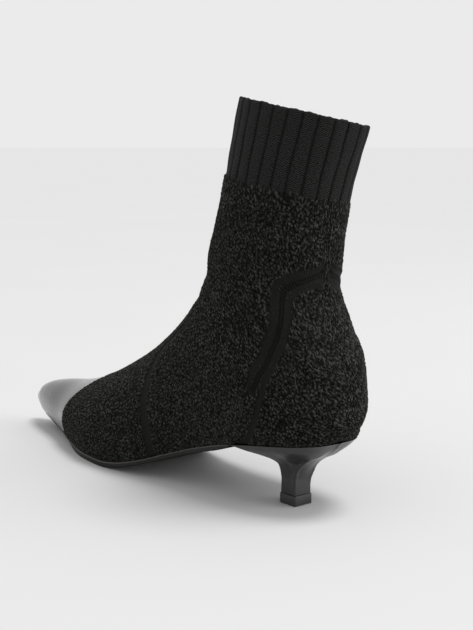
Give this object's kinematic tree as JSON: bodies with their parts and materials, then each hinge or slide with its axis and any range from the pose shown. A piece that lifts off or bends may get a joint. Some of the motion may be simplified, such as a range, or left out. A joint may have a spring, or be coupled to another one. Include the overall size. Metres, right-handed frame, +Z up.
{
  "type": "ankle boot",
  "caption": "Left pull-on ankle boot with a looped-knit upper, ribbed cuff, pointed leather toe cap, thin outsole and a low flared kitten heel.",
  "frame": {"origin": "on the floor, under the middle of the heel's top piece", "axes": "+X to the back of the boot, with the toe at -X; -Y to the outer side of the foot; +Z up"},
  "size_m": [0.2852, 0.0769, 0.2041],
  "materials": {
    "knit": "black looped knit with a ribbed cuff",
    "cap_leather": "black polished smooth leather",
    "sole_rubber": "dark brown-black matt",
    "heel_plastic": "black satin, moulded",
    "tip_rubber": "black matt, hard",
    "insole_leather": "black matt lining leather"
  },
  "bodies": {
    "root": {"upper": "knit", "toe_cap": "cap_leather", "outsole": "sole_rubber", "heel": "heel_plastic", "heel_tip": "tip_rubber", "insole": "insole_leather"}
  },
  "joints": []
}
